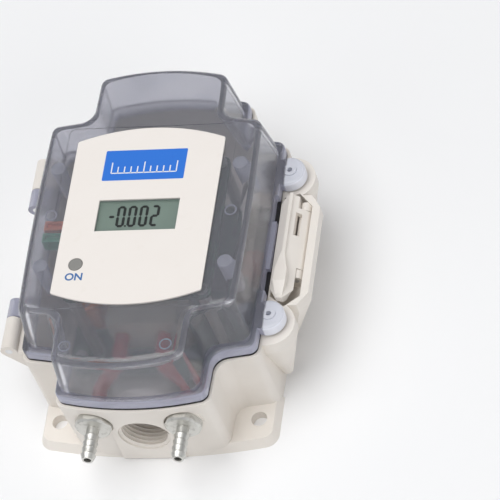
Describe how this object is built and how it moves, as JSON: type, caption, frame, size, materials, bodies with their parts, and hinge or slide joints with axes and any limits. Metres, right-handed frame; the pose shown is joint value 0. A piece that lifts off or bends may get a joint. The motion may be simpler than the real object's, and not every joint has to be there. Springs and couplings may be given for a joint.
{
  "type": "pressure transmitter",
  "caption": "Wall box pressure transmitter with a hinged smoky clear cover, side latch, digital display, ON button, hose barbs and a threaded conduit mouth.",
  "frame": {"origin": "centre of the flat back face", "axes": "+Z out of the front, +Y towards the end away from the hose barbs, +X from the hinge side to the latch side"},
  "size_m": [0.1255, 0.1821, 0.0693],
  "materials": {
    "box_plastic": "fine moulded texture",
    "smoky_clear": "smoky clear polycarbonate",
    "seal_rubber": "dull",
    "pin_steel": "ground",
    "label_white": "satin print",
    "button_grey": "dull",
    "switch_black": "dull",
    "lcd_green": "reflective liquid crystal",
    "frame_black": "dull",
    "board_green": "solder mask",
    "spacer_nickel": "nickel plated",
    "screw_zinc": "zinc plated",
    "sensor_cream": "dull",
    "tube_red": "smooth",
    "barb_nickel": "satin nickel",
    "terminal_green": "dull",
    "terminal_orange": "dull",
    "capacitor_black": "sleeve",
    "range_red": "dull",
    "chip_black": "dull"
  },
  "bodies": {
    "box": {"base": "box_plastic", "gasket": "seal_rubber", "hinge_pin_lower": "pin_steel", "hinge_pin_upper": "pin_steel", "latch_pin": "pin_steel", "tactile_switch": "switch_black", "lcd_panel": "lcd_green", "display_frame": "frame_black", "display_board": "board_green", "display_spacers": "spacer_nickel", "board_header": "frame_black", "circuit_board": "board_green", "board_screws": "screw_zinc", "pressure_sensor": "sensor_cream", "tube_low": "tube_red", "tube_high": "tube_red", "hose_barb_low": "barb_nickel", "hose_barb_high": "barb_nickel", "barb_washers": "seal_rubber", "barb_nuts": "barb_nickel", "terminal_block_supply": "terminal_green", "terminal_block_output": "terminal_orange", "terminal_screws": "screw_zinc", "capacitors": "capacitor_black", "range_switch": "range_red", "processor": "chip_black"},
    "lid": {"cover": "smoky_clear", "label_plate": "label_white"},
    "button": {"on_button": "button_grey"},
    "lever": {"latch": "box_plastic"}
  },
  "joints": [
    {"name": "cover_hinge", "type": "hinge", "parent": "box", "child": "lid", "pos_m": [-0.056, 0, 0.0398], "axis": [0, -1, 0], "range_deg": [0, 150]},
    {"name": "latch_hinge", "type": "hinge", "parent": "box", "child": "lever", "pos_m": [0.0596, 0, 0.0359], "axis": [0, 1, 0], "range_deg": [0, 55]},
    {"name": "on_button_press", "type": "slide", "parent": "lid", "child": "button", "axis": [0, 0, -1], "range_m": [0, 0.0008], "stiffness_N_per_m": 600, "springref_m": -0.0003}
  ]
}
